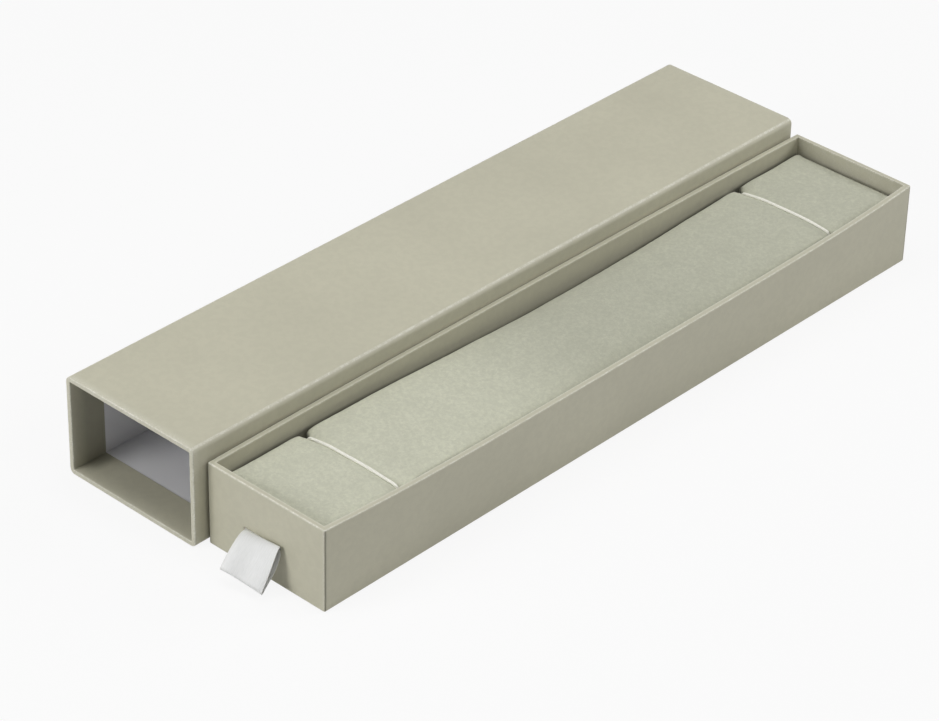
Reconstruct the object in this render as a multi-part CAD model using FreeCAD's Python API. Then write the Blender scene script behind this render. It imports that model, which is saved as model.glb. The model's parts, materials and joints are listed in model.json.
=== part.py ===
"""Sliding drawer gift box for a bracelet or a pen: a rigid slipcase, its drawer and a velvet pad.

The slipcase (the sleeve) is a tube of greyboard panels with a closed back, lined in white and
wrapped in coloured paper that turns in at the mouth. The drawer is a tray of five mitred greyboard
panels, held at its corners by tape stays and wrapped in the same paper. A base sheet under each
hides where its wrap laps. A ribbon goes through a slit in the drawer's front. A pad of foam under
velvet lies in the drawer, with two elastic cords round it. The drawer lies on the table beside the
sleeve, so that the inside of both shows.

Millimetres. X runs across the box, -Y is the side of the mouth and the ribbon, and Z is up. The
origin is the middle of the sleeve's base.
"""
import FreeCAD, Part
import math
import os

V = FreeCAD.Vector

# ---- Sheet stock ----------------------------------------------------------------------------
greyboard = 1.0             # box board of every panel
wrap_paper = 0.15           # covering paper with its glue
lining_paper = 0.1          # white sheet inside the sleeve
base_paper = 0.15           # sheet under the sleeve and under the drawer
base_margin = 1.2           # base sheet's edge inside the box's edge
stay_tape = 0.1             # gummed tape on the drawer's corners
velvet = 0.5                # pad cloth with its pile
ribbon_thickness = 0.2      # satin ribbon, one layer

# ---- Sleeve ---------------------------------------------------------------------------------
sleeve_length = 225.0       # mouth to back
sleeve_width = 45.3
sleeve_height = 29.0
sleeve_edge_radius = 1.6    # four long edges, outside
sleeve_back_radius = 0.35   # edges round the back
board_crush = 0.1           # how much rounder the board is than the paper over it
mouth_radius = 0.3          # paper's fold over the board at the mouth
sleeve_turn_in = 10.7       # paper turned into the mouth
back_lap_share = 0.55       # share of the back that the upper flap covers, over the lower one
back_lap_margin = 1.5       # upper flap's distance from the side edges

# ---- Drawer ---------------------------------------------------------------------------------
side_clearance = 1.55       # drawer to the turned-in paper, each side
top_clearance = 2.1         # drawer's rim to the turned-in paper above
end_clearance = 1.0         # drawer's back to the sleeve's back
drawer_gap = 0.7            # sleeve's side to the drawer's side on the table
drawer_setback = 4.0        # drawer's front behind the sleeve's mouth on the table
drawer_base_radius = 0.5    # edges round the base
drawer_corner_radius = 0.4  # upright corners
rim_radius = 0.3            # paper's fold over the rim
drawer_turn_in = 14.0       # paper turned into the drawer, down from the rim
flap_step = 0.45            # side flap's edge to the upright corner
stay_width = 12.0           # corner tape, each leg
stay_margin = 1.0           # corner tape to the base and to the rim

# ---- Ribbon pull ----------------------------------------------------------------------------
ribbon_width = 12.0
ribbon_offset = -1.2        # ribbon's middle to the middle of the drawer's front
ribbon_reach = 11.7         # slit to the fold, along the ribbon
ribbon_droop = 39.0         # degrees under level
ribbon_height = 11.0        # slit's middle over the drawer's base
ribbon_fold_radius = 0.65   # outside of the fold
ribbon_parting = 0.05       # half the gap between the layers where they part at the bend
ribbon_bend_radius = 0.36   # outside of the bend where the tails turn down
ribbon_tail = 8.5           # glued length inside the drawer
ribbon_stub = 0.15          # fixed part's reach out of the slit
ribbon_root_gap = 0.4       # drawer's face to the bend where the pull turns
slit_clearance = 0.15       # slit round the ribbon, above and below
slit_side_clearance = 0.3   # slit beside the ribbon, each side

# ---- Pad ------------------------------------------------------------------------------------
pad_side_gap = 0.45         # pad to the turned-in paper, each side
pad_front_gap = 1.0         # pad to the front wall, over the ribbon's tails
pad_back_gap = 0.5
pad_foot_gap = 0.3          # backing card to the drawer's floor
pad_depth_below_rim = 5.4   # rim to the pad's side edges
pad_crown = 1.1             # rise of the middle over the side edges
pad_edge_radius = 1.2
pad_card = 1.0              # backing card
pad_card_inset = 1.0        # card's edge inside the pad's edge
velvet_margin = 8.0         # cloth turned under the foam

# ---- Elastic cords --------------------------------------------------------------------------
cord_diameter = 0.9
cord_sides = 8              # flats of the braid's outline
cord_from_end = 29.0        # cord to the drawer's front or back face
cord_sink = 0.2             # how deep the cord presses into the cloth
cord_clearance = 0.1        # channel round the cord
cord_turn_radius = 0.8      # bend at each corner of the loop
notch_width = 1.8
notch_depth = 2.5
knot_radius = 1.1

# ---- Worked out -----------------------------------------------------------------------------
over = 1.0                  # length that a cutting tool stands out of what it cuts
same = 1e-6                 # coordinates closer than this are the same

mouth_wall = wrap_paper + greyboard + lining_paper + wrap_paper
drawer_width = sleeve_width - 2 * mouth_wall - 2 * side_clearance
drawer_height = sleeve_height - base_paper - 2 * mouth_wall - top_clearance
drawer_length = sleeve_length - 2 * wrap_paper - greyboard - lining_paper - end_clearance
side_cover = 2 * wrap_paper + stay_tape
end_cover = wrap_paper + stay_tape
drawer_place = V(
    sleeve_width / 2 + drawer_gap + drawer_width / 2,
    drawer_setback + (drawer_length - sleeve_length) / 2,
    0,
)


# ---- Helpers --------------------------------------------------------------------------------
def block(x, y, z):
    """A box from pairs of lowest and highest coordinates."""
    size = V(x[1] - x[0], y[1] - y[0], z[1] - z[0])
    return Part.makeBox(size.x, size.y, size.z, V(x[0], y[0], z[0]))


def outline(points):
    """A flat face with straight sides."""
    return Part.Face(Part.makePolygon(points + points[:1]))


def prism_along_y(points, y):
    """The (x, z) outline carried from y[0] to y[1]."""
    return outline([V(px, y[0], pz) for px, pz in points]).extrude(V(0, y[1] - y[0], 0))


def prism_along_x(points, x):
    """The (y, z) outline carried from x[0] to x[1]."""
    return outline([V(x[0], py, pz) for py, pz in points]).extrude(V(x[1] - x[0], 0, 0))


def prism_along_z(points, z):
    """The (x, y) outline carried from z[0] to z[1]."""
    return outline([V(px, py, z[0]) for px, py in points]).extrude(V(0, 0, z[1] - z[0]))


def round_edges(solid, radius, wanted):
    """Fillet the edges whose two ends both pass the test."""
    chosen = [edge for edge in solid.Edges if all(wanted(v.Point) for v in edge.Vertexes)]
    return solid.makeFillet(radius, chosen)


def near(a, b):
    return abs(a - b) < same


def symmetric(half):
    return (-half, half)


def grown(pair, amount):
    return (pair[0] - amount, pair[1] + amount)


def tapered_loop(start, start_radius, end, end_radius, x):
    """Two circles in the YZ plane with the lines that touch both, carried along x."""
    length = (end - start).Length
    along = (end - start) / length
    across = V(0, -along.z, along.y)
    lean = math.asin((end_radius - start_radius) / length)
    up = along * -math.sin(lean) + across * math.cos(lean)
    down = along * -math.sin(lean) - across * math.cos(lean)
    base = V(x[0], 0, 0)
    a, b = base + start + up * start_radius, base + end + up * end_radius
    c, d = base + end + down * end_radius, base + start + down * start_radius
    sides = [
        Part.makeLine(a, b),
        Part.Arc(b, base + end + along * end_radius, c).toShape(),
        Part.makeLine(c, d),
        Part.Arc(d, base + start - along * start_radius, a).toShape(),
    ]
    return Part.Face(Part.Wire(sides)).extrude(V(x[1] - x[0], 0, 0))


# ---- Sleeve ---------------------------------------------------------------------------------
def sleeve_parts():
    """Four mitred panels round the tube, the back between them, the white lining and the wrap."""
    half_w = sleeve_width / 2 - wrap_paper
    z_low, z_high = base_paper + wrap_paper, sleeve_height - wrap_paper
    front = -sleeve_length / 2 + wrap_paper
    back = sleeve_length / 2 - 2 * wrap_paper
    run = (front, back)
    bore_w = half_w - greyboard
    bore = (z_low + greyboard, z_high - greyboard)
    core = block(symmetric(half_w), run, (z_low, z_high))
    paper_inside = sleeve_edge_radius - wrap_paper
    tube = round_long_edges(core, paper_inside + board_crush)
    tube = tube.cut(block(symmetric(bore_w), grown(run, over), bore))
    mitres = {
        "bottom": [(-half_w, z_low), (half_w, z_low), (bore_w, bore[0]), (-bore_w, bore[0])],
        "top": [(-half_w, z_high), (half_w, z_high), (bore_w, bore[1]), (-bore_w, bore[1])],
        "left": [(-half_w, z_low), (-half_w, z_high), (-bore_w, bore[1]), (-bore_w, bore[0])],
        "right": [(half_w, z_low), (half_w, z_high), (bore_w, bore[1]), (bore_w, bore[0])],
    }
    parts = {}
    for side, points in mitres.items():
        parts[f"sleeve_{side}_board"] = tube.common(prism_along_y(points, run))
    back_inner = back - greyboard
    parts["sleeve_back_board"] = block(symmetric(bore_w), (back_inner, back), bore)

    lined_w = bore_w - lining_paper
    lined = (bore[0] + lining_paper, bore[1] - lining_paper)
    lining = block(symmetric(bore_w), (front, back_inner), bore)
    parts["sleeve_lining"] = lining.cut(
        block(symmetric(lined_w), (front - over, back_inner - lining_paper), lined)
    )

    outside_back = sleeve_length / 2 - wrap_paper
    skin = block(
        symmetric(sleeve_width / 2),
        (-sleeve_length / 2, outside_back),
        (base_paper, sleeve_height),
    )
    skin = round_long_edges(skin, sleeve_edge_radius)
    skin = round_ring(skin, outside_back, sleeve_back_radius)
    skin = round_ring(skin, -sleeve_length / 2, mouth_radius)
    skin = skin.cut(round_long_edges(core, paper_inside))
    skin = skin.cut(block(symmetric(lined_w), (-sleeve_length / 2 - over, front + over), lined))
    mouth_w = lined_w - wrap_paper
    mouth = (lined[0] + wrap_paper, lined[1] - wrap_paper)
    turned = (-sleeve_length / 2, -sleeve_length / 2 + sleeve_turn_in)
    turn_in = block(symmetric(lined_w), turned, lined)
    turn_in = turn_in.cut(block(symmetric(mouth_w), grown(turned, over), mouth))
    lap = block(
        symmetric(sleeve_width / 2 - back_lap_margin),
        (outside_back, sleeve_length / 2),
        (sleeve_height * (1 - back_lap_share), sleeve_height - back_lap_margin),
    )
    parts["sleeve_wrap"] = skin.fuse([turn_in, lap]).removeSplitter()
    parts["sleeve_base_sheet"] = base_sheet(sleeve_width, sleeve_length)
    return parts


def base_sheet(width, length):
    """The sheet that a box stands on, a little smaller than the box."""
    x, y = symmetric(width / 2 - base_margin), symmetric(length / 2 - base_margin)
    return block(x, y, (0, base_paper))


def round_long_edges(solid, radius):
    """Fillet the four edges that run along Y."""
    edges = [e for e in solid.Edges if near(e.Vertexes[0].X, e.Vertexes[-1].X)
             and near(e.Vertexes[0].Z, e.Vertexes[-1].Z)]
    return solid.makeFillet(radius, edges)


def round_ring(solid, y, radius):
    """Fillet the whole edge loop that lies in the plane of y."""
    return round_edges(solid, radius, lambda p: near(p.y, y))


# ---- Drawer ---------------------------------------------------------------------------------
def tray_size():
    """Half width, half length and height range of the bare board tray."""
    return (
        drawer_width / 2 - side_cover,
        drawer_length / 2 - end_cover,
        (base_paper + wrap_paper, drawer_height - wrap_paper),
    )


def mitred_wall(half_reach, half_other, z, along_x):
    """A wall on the positive side, mitred to the base and to the walls beside it."""
    low, high = z
    near_face, far_face = half_reach - greyboard, half_reach
    upright = [(near_face, low + greyboard), (far_face, low), (far_face, high), (near_face, high)]
    inner = half_other - greyboard
    if along_x:
        plan = [(near_face, -inner), (far_face, -half_other), (far_face, half_other), (near_face, inner)]
        return prism_along_y(upright, symmetric(half_other)).common(prism_along_z(plan, z))
    plan = [(-inner, near_face), (-half_other, far_face), (half_other, far_face), (inner, near_face)]
    return prism_along_x(upright, symmetric(half_other)).common(prism_along_z(plan, z))


def drawer_boards():
    half_w, half_l, z = tray_size()
    low, floor = z[0], z[0] + greyboard
    in_w, in_l = half_w - greyboard, half_l - greyboard
    across = [(-half_w, low), (half_w, low), (in_w, floor), (-in_w, floor)]
    along = [(-half_l, low), (half_l, low), (in_l, floor), (-in_l, floor)]
    base = prism_along_y(across, symmetric(half_l)).common(prism_along_x(along, symmetric(half_w)))
    right = mitred_wall(half_w, half_l, z, along_x=True)
    back = mitred_wall(half_l, half_w, z, along_x=False)
    origin = V(0, 0, 0)
    return {
        "drawer_base_board": base,
        "drawer_right_board": right,
        "drawer_left_board": right.mirror(origin, V(1, 0, 0)),
        "drawer_back_board": back,
        "drawer_front_board": back.mirror(origin, V(0, 1, 0)).cut(ribbon_slit()),
    }


def across_ribbon(half):
    return (ribbon_offset - half, ribbon_offset + half)


def ribbon_slit():
    """The slot that the ribbon goes through, long enough to cross the front wall."""
    half = ribbon_width / 2 + slit_side_clearance
    high = ribbon_thickness + slit_clearance
    front = -drawer_length / 2
    wall = end_cover + greyboard + wrap_paper
    return block(
        across_ribbon(half),
        (front - over, front + wall + over),
        (ribbon_height - high, ribbon_height + high),
    )


def corner_stays():
    """A strip of tape bent round each upright corner of the tray."""
    half_w, half_l, z = tray_size()
    reach = (z[0] + stay_margin, z[1] - stay_margin)
    outside = block(
        (half_w - stay_width, half_w + stay_tape), (half_l - stay_width, half_l + stay_tape), reach
    )
    inside = block((0, half_w), (0, half_l), grown(reach, over))
    back_right = outside.cut(inside)
    back_left = back_right.mirror(V(0, 0, 0), V(1, 0, 0))
    return {
        "back_right_corner_stay": back_right,
        "back_left_corner_stay": back_left,
        "front_right_corner_stay": back_right.mirror(V(0, 0, 0), V(0, 1, 0)),
        "front_left_corner_stay": back_left.mirror(V(0, 0, 0), V(0, 1, 0)),
    }


def drawer_wrap(stays):
    """One sheet over the base and the walls, over the rim and down inside."""
    half_w, half_l, z = tray_size()
    in_w, in_l = half_w - greyboard, half_l - greyboard
    skin = block(
        symmetric(drawer_width / 2), symmetric(drawer_length / 2), (base_paper, drawer_height)
    )
    upright = [e for e in skin.Edges if near(e.Vertexes[0].Y, e.Vertexes[-1].Y)
               and near(e.Vertexes[0].X, e.Vertexes[-1].X)]
    skin = skin.makeFillet(drawer_corner_radius, upright)
    skin = round_edges(skin, drawer_base_radius, lambda p: near(p.z, base_paper))
    skin = round_edges(skin, rim_radius, lambda p: near(p.z, drawer_height))
    skin = skin.cut([block(symmetric(half_w), symmetric(half_l), z)] + stays)
    skin = skin.cut(block(symmetric(in_w), symmetric(in_l), (z[1] - over, drawer_height + over)))
    turned = (drawer_height - drawer_turn_in, drawer_height)
    turn_in = block(symmetric(in_w), symmetric(in_l), turned)
    turn_in = turn_in.cut(
        block(symmetric(in_w - wrap_paper), symmetric(in_l - wrap_paper), grown(turned, over))
    )
    wrap = skin.fuse(turn_in).removeSplitter()
    return wrap.cut([ribbon_slit()] + flap_steps())


def flap_steps():
    """What the side flaps leave bare at the four upright corners."""
    face = drawer_width / 2
    steps = []
    for side in (-1, 1):
        x = sorted((side * (face - wrap_paper), side * (face + over)))
        for end in (-1, 1):
            y = sorted((end * (drawer_length / 2 - flap_step), end * (drawer_length / 2 + over)))
            steps.append(block(x, y, (-over, drawer_height - rim_radius)))
    return steps


def ribbon_tails():
    """Both layers, glued together, through the slit and down the inside of the front."""
    face = -drawer_length / 2
    inside = face + end_cover + greyboard + wrap_paper
    layers = 2 * ribbon_thickness
    top = ribbon_height + ribbon_thickness
    bottom = ribbon_height - ribbon_thickness
    points = [
        (face - ribbon_stub, bottom),
        (face - ribbon_stub, top),
        (inside + layers, top),
        (inside + layers, bottom - ribbon_tail),
        (inside, bottom - ribbon_tail),
        (inside, bottom),
    ]
    tails = prism_along_x(points, across_ribbon(ribbon_width / 2))
    bend = [e for e in tails.Edges if all(near(v.Y, inside + layers) and near(v.Z, top)
                                          for v in e.Vertexes)]
    return tails.makeFillet(ribbon_bend_radius, bend)


def ribbon_pull():
    """The loop outside: two layers from the bend at the slit to the fold at the end."""
    droop = math.radians(ribbon_droop)
    root = V(0, -drawer_length / 2 - ribbon_root_gap, ribbon_height)
    along = V(0, -math.cos(droop), -math.sin(droop))
    fold = root + along * (ribbon_reach - ribbon_fold_radius)
    x = across_ribbon(ribbon_width / 2)
    outside = tapered_loop(root, ribbon_thickness, fold, ribbon_fold_radius, x)
    split = root + along * (2 * ribbon_thickness)
    inner_radius = ribbon_fold_radius - ribbon_thickness
    inside = tapered_loop(split, ribbon_parting, fold, inner_radius, grown(x, over))
    return outside.cut(inside)


def drawer_parts():
    parts = drawer_boards()
    stays = corner_stays()
    parts.update(stays)
    parts["drawer_wrap"] = drawer_wrap(list(stays.values()))
    parts["drawer_base_sheet"] = base_sheet(drawer_width, drawer_length)
    parts["ribbon_tails"] = ribbon_tails()
    parts["ribbon_pull"] = ribbon_pull()
    return parts


# ---- Pad ------------------------------------------------------------------------------------
def pad_place():
    """The pad's half width, its y range and the heights of its underside and side edges."""
    half_w, half_l, z = tray_size()
    half = half_w - greyboard - wrap_paper - pad_side_gap
    wall = half_l - greyboard - wrap_paper
    y = (-wall + pad_front_gap, wall - pad_back_gap)
    card_foot = z[0] + greyboard + pad_foot_gap
    return half, y, (card_foot + pad_card, drawer_height - pad_depth_below_rim)


def crowned_block(half, y, z):
    """A block whose top is an arc over its width."""
    low, side = z
    start = y[0]
    corners = [V(-half, start, low), V(-half, start, side), V(half, start, side), V(half, start, low)]
    crown = Part.Arc(corners[1], V(0, start, side + pad_crown), corners[2]).toShape()
    profile = Part.Wire([
        Part.makeLine(corners[0], corners[1]),
        crown,
        Part.makeLine(corners[2], corners[3]),
        Part.makeLine(corners[3], corners[0]),
    ])
    return Part.Face(profile).extrude(V(0, y[1] - y[0], 0))


def crown_arc(half, side):
    """Radius and centre height of the arc through both side edges and the crown."""
    radius = (half * half + pad_crown * pad_crown) / (2 * pad_crown)
    return radius, side + pad_crown - radius


def cord_path(y):
    """The loop round the pad, over the crown and down both notches, and its lowest middle."""
    half, _, (low, side) = pad_place()
    crown_radius, crown_centre = crown_arc(half, side)
    r = cord_turn_radius
    cord_radius = cord_diameter / 2
    top_radius = crown_radius - cord_sink + cord_radius
    wall_x = half - notch_depth + cord_radius + cord_clearance
    turn_x = wall_x - r
    turn_z = crown_centre + math.sqrt((top_radius - r) ** 2 - turn_x ** 2)
    low_z = low + cord_radius + cord_clearance
    lean = math.asin(turn_x / (top_radius - r))

    def on_turn(centre_z, angle):
        return V(turn_x + r * math.sin(angle), y, centre_z + r * math.cos(angle))

    def flip(point):
        return V(-point.x, point.y, point.z)

    touch, wall_top = on_turn(turn_z, lean), on_turn(turn_z, math.pi / 2)
    wall_foot, foot = on_turn(low_z + r, math.pi / 2), on_turn(low_z + r, math.pi)
    upper_middle = on_turn(turn_z, (lean + math.pi / 2) / 2)
    lower_middle = on_turn(low_z + r, 3 * math.pi / 4)
    crown = V(0, y, crown_centre + top_radius)
    sides = [
        Part.Arc(flip(touch), crown, touch).toShape(),
        Part.Arc(touch, upper_middle, wall_top).toShape(),
        Part.makeLine(wall_top, wall_foot),
        Part.Arc(wall_foot, lower_middle, foot).toShape(),
        Part.makeLine(foot, flip(foot)),
        Part.Arc(flip(foot), flip(lower_middle), flip(wall_foot)).toShape(),
        Part.makeLine(flip(wall_foot), flip(wall_top)),
        Part.Arc(flip(wall_top), flip(upper_middle), flip(touch)).toShape(),
    ]
    return sides, V(0, y, low_z)


def cord_section(point, tangent):
    """The braid's outline across the cord, with a flat on each side of the loop's plane."""
    across = V(0, 1, 0)
    outward = tangent.cross(across)
    step = 2 * math.pi / cord_sides
    reach = cord_diameter / 2 / math.cos(step / 2)
    corners = []
    for i in range(cord_sides):
        angle = (i + 0.5) * step
        corners.append(point + across * (reach * math.cos(angle)) + outward * (reach * math.sin(angle)))
    return Part.makePolygon(corners + corners[:1])


def knot_centre(foot):
    return foot + V(0, 0, knot_radius - cord_diameter / 2)


def cord_with_knot(y):
    """The closed loop, run by run, with its knot above the backing card."""
    sides, foot = cord_path(y)
    cord = Part.makeSphere(knot_radius, knot_centre(foot))
    for side in sides:
        start = side.FirstParameter
        section = cord_section(side.valueAt(start), side.tangentAt(start))
        cord = cord.fuse(Part.Wire([side]).makePipeShell([section], True, False))
    return cord.removeSplitter()


def cord_room(y):
    """What the cord takes out of the pad: a crease, two notches, a channel and a pocket."""
    half, _, (low, side) = pad_place()
    _, foot = cord_path(y)
    top = side + pad_crown + over
    reach = cord_diameter / 2 + cord_clearance
    width = (y - reach, y + reach)
    crease_floor = crowned_block(half, grown(width, over), (low, side - cord_sink - cord_clearance))
    crease = block(symmetric(half + over), width, (low, top)).cut(crease_floor)
    channel = block(symmetric(half), width, (low - over, foot.z + reach))
    pocket = Part.makeCylinder(
        knot_radius + cord_clearance, 2 * knot_radius + over + 2 * cord_clearance, V(0, y, low - over)
    )
    room = [crease, channel, pocket]
    for hand in (-1, 1):
        centre_x = hand * (half - notch_depth + notch_width / 2)
        slot = Part.makeCylinder(notch_width / 2, top - low + over, V(centre_x, y, low - over))
        x = sorted((centre_x, hand * (half + over)))
        flat = block(x, (y - notch_width / 2, y + notch_width / 2), (low - over, top))
        room.append(slot.fuse(flat))
    return room


def pad_parts():
    half, y, z = pad_place()
    cord_y = {
        "front": -drawer_length / 2 + cord_from_end,
        "back": drawer_length / 2 - cord_from_end,
    }
    outside = round_edges(crowned_block(half, y, z), pad_edge_radius, lambda p: near(p.z, z[1]))
    inner = crowned_block(half - velvet, grown(y, -velvet), grown(z, -velvet))
    window = block(
        symmetric(half - velvet_margin),
        (y[0] + velvet_margin, y[1] - velvet_margin),
        (z[0], z[0] + velvet + over),
    )
    foam = inner.fuse(window).removeSplitter()
    cover = outside.cut(foam)
    for place in cord_y.values():
        room = cord_room(place)
        foam = foam.cut(room)
        cover = cover.cut(room)
    card = block(
        symmetric(half - pad_card_inset),
        (y[0] + pad_card_inset, y[1] - pad_card_inset),
        (z[0] - pad_card, z[0]),
    )
    return {
        "pad_card": card,
        "pad_foam": foam,
        "pad_cover": cover,
        "front_cord": cord_with_knot(cord_y["front"]),
        "back_cord": cord_with_knot(cord_y["back"]),
    }


# ---- Build ----------------------------------------------------------------------------------
def main():
    parts = sleeve_parts()
    for name, shape in {**drawer_parts(), **pad_parts()}.items():
        shape.translate(drawer_place)
        parts[name] = shape
    os.makedirs("parts", exist_ok=True)
    for name, shape in parts.items():
        solids = shape.Solids
        if len(solids) != 1 or not shape.isValid():
            print(name, "has", len(solids), "solids, valid:", shape.isValid())
        solids[0].exportStep(f"parts/{name}.step")
    print(len(parts), "parts")


main()
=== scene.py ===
import json
import math

import bmesh
import bpy
import numpy as np
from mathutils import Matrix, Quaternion, Vector, noise
from mathutils.bvhtree import BVHTree


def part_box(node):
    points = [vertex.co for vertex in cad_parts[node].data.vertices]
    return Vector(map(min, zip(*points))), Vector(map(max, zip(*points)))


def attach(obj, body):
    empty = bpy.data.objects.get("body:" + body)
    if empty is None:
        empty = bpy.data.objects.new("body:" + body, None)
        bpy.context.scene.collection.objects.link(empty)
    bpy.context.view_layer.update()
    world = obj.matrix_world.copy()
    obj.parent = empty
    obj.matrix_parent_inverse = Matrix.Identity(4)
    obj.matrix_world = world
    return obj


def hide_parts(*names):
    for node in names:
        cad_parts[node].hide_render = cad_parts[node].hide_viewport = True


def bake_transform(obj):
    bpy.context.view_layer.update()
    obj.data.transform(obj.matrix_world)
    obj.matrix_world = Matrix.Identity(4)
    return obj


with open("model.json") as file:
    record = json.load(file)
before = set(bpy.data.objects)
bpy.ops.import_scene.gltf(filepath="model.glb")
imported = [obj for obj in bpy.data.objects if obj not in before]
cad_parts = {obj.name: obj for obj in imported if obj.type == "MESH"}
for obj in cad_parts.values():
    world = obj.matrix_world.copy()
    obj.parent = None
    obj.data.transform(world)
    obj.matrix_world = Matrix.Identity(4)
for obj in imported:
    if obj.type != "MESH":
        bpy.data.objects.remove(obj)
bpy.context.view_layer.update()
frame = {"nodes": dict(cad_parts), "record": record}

# The looks of a sliding drawer gift box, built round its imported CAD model. Sizes are in millimetres
# and degrees unless a comment says otherwise; new_piece brings the meshes to metres.
MM = 0.001
nodes = frame["nodes"]
slot_of = {part["node"]: part["material_slot"] for part in frame["record"]["subparts"]}


def corners_mm(node):
    """Lowest and highest corner of a CAD node, in millimetres."""
    low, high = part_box(node)
    return np.array(low) / MM, np.array(high) / MM


# ---- Sizes taken from the frame
sleeve_low, sleeve_high = corners_mm("sleeve_wrap")
drawer_low, drawer_high = corners_mm("drawer_wrap")
base_low, base_high = corners_mm("drawer_base_board")
cover_low, cover_high = corners_mm("pad_cover")
board = base_high[2] - base_low[2]
paper = 0.15  # covering paper
lining_sheet = 0.1
sleeve_wall = 2 * paper + board + lining_sheet
drawer_mid = (drawer_low + drawer_high) / 2

# ---- Camera, floor and light
VIEW_AZIMUTH = 42.562  # 0 looks along +Y
VIEW_ELEVATION = 33.423
VIEW_ROLL = 1.351
VIEW_TARGET = (25.04, -19.11, 12.0)
VIEW_DISTANCE = 916.3
LENS = 138.01
SENSOR = 36.0
NEAREST = 0.01  # metres from the camera to the nearest and the furthest thing it sees
FURTHEST = 50.0
BACKGROUND = 0.972  # the pale surroundings, as the camera sees them
FLOOR_TONE = 0.8  # the floor as the object's light meets it
FLOOR_SEEN_TONE = 0.95  # and as the camera sees it, where it takes shadows
FLOOR_SHADOW = 0.09  # share of the floor's look that takes shadows
FLOOR_SIZE = 6000.0
FLOOR_DROP = 0.02  # floor under the base sheets, so that no faces lie in each other
WORLD_LEVEL = 0.03
# Each lamp's power in watts, place and width.
LAMPS = {
    "top_lamp": (4.5, (0, 0, 1000), 800),
    "front_lamp": (4.0, (-300, -880, 340), 500),
    "left_lamp": (1.3, (-350, -600, 900), 500),
    "right_lamp": (1.5, (700, 0, 800), 500),
    "back_lamp": (3.2, (600, 700, 500), 500),
}


def node_tree(material):
    material.use_nodes = True
    tree = material.node_tree
    tree.nodes.clear()
    return tree


def add(tree, kind, inputs=None, **settings):
    """A shader node with its settings, and its inputs set or linked by name or number."""
    made = tree.nodes.new("ShaderNode" + kind)
    for name, value in settings.items():
        setattr(made, name, value)
    for name, value in (inputs or {}).items():
        socket = made.inputs[name]
        if isinstance(value, bpy.types.NodeSocket):
            tree.links.new(value, socket)
        else:
            socket.default_value = value
    return made


def grey(level):
    return (level, level, level, 1)


def put_in(name, data):
    """A new object in the scene."""
    thing = bpy.data.objects.new(name, data)
    bpy.context.scene.collection.objects.link(thing)
    return thing


def aim(thing, place, target, roll=0.0):
    """Puts a camera or a lamp at a place and turns it to the target."""
    away = Vector(place) - Vector(target)
    thing.location = Vector(place) * MM
    thing.rotation_mode = "QUATERNION"
    turn = away.to_track_quat("Z", "Y")
    thing.rotation_quaternion = turn @ Quaternion((0, 0, 1), math.radians(roll))


def make_camera():
    azimuth, elevation = math.radians(VIEW_AZIMUTH), math.radians(VIEW_ELEVATION)
    back = Vector((
        math.sin(azimuth) * math.cos(elevation),
        -math.cos(azimuth) * math.cos(elevation),
        math.sin(elevation),
    ))
    data = bpy.data.cameras.new("camera")
    data.lens = LENS
    data.sensor_width = SENSOR
    data.sensor_fit = "HORIZONTAL"
    data.clip_start = NEAREST
    data.clip_end = FURTHEST
    camera = put_in("camera", data)
    place = Vector(VIEW_TARGET) + back * VIEW_DISTANCE
    aim(camera, place, VIEW_TARGET, VIEW_ROLL)
    bpy.context.scene.camera = camera


def seen_directly(tree):
    """1 for rays from the camera, and for those seen in gloss or through glass."""
    path = add(tree, "LightPath")
    first = add(tree, "Math", {0: path.outputs["Is Camera Ray"], 1: path.outputs["Is Glossy Ray"]},
                operation="MAXIMUM")
    both = add(tree, "Math", {0: first.outputs[0], 1: path.outputs["Is Transmission Ray"]},
               operation="MAXIMUM")
    return both.outputs[0]


def make_floor():
    material = bpy.data.materials.new("pale_floor")
    tree = node_tree(material)
    plain = add(tree, "BsdfDiffuse", {"Color": grey(FLOOR_TONE)})
    bright = add(tree, "BsdfDiffuse", {"Color": grey(FLOOR_SEEN_TONE)})
    glow = add(tree, "Emission", {"Color": grey(BACKGROUND)})
    seen = add(tree, "MixShader", {0: FLOOR_SHADOW, 1: glow.outputs[0], 2: bright.outputs[0]})
    mix = add(tree, "MixShader", {0: seen_directly(tree), 1: plain.outputs[0], 2: seen.outputs[0]})
    add(tree, "OutputMaterial", {"Surface": mix.outputs[0]})
    half = FLOOR_SIZE / 2 * MM
    mesh = bpy.data.meshes.new("floor")
    mesh.from_pydata([(-half, -half, 0), (half, -half, 0), (half, half, 0), (-half, half, 0)],
                     [], [(0, 1, 2, 3)])
    mesh.materials.append(material)
    floor = put_in("floor", mesh)
    floor.location.z = -FLOOR_DROP * MM


def make_lamp(name, power, place, size, target):
    data = bpy.data.lights.new(name, "AREA")
    data.shape = "DISK"
    data.size = size * MM
    data.energy = power
    aim(put_in(name, data), place, target)


def make_light():
    for name, (power, place, size) in LAMPS.items():
        make_lamp(name, power, place, size, VIEW_TARGET)
    world = bpy.data.worlds.new("surroundings")
    bpy.context.scene.world = world
    world.use_nodes = True
    tree = world.node_tree
    tree.nodes.clear()
    light = add(tree, "Background", {"Color": grey(1), "Strength": WORLD_LEVEL})
    seen = add(tree, "Background", {"Color": grey(BACKGROUND), "Strength": 1.0})
    mix = add(tree, "MixShader", {0: seen_directly(tree), 1: light.outputs[0], 2: seen.outputs[0]})
    add(tree, "OutputWorld", {"Surface": mix.outputs[0]})
    bpy.context.scene.view_settings.view_transform = "Standard"


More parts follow.
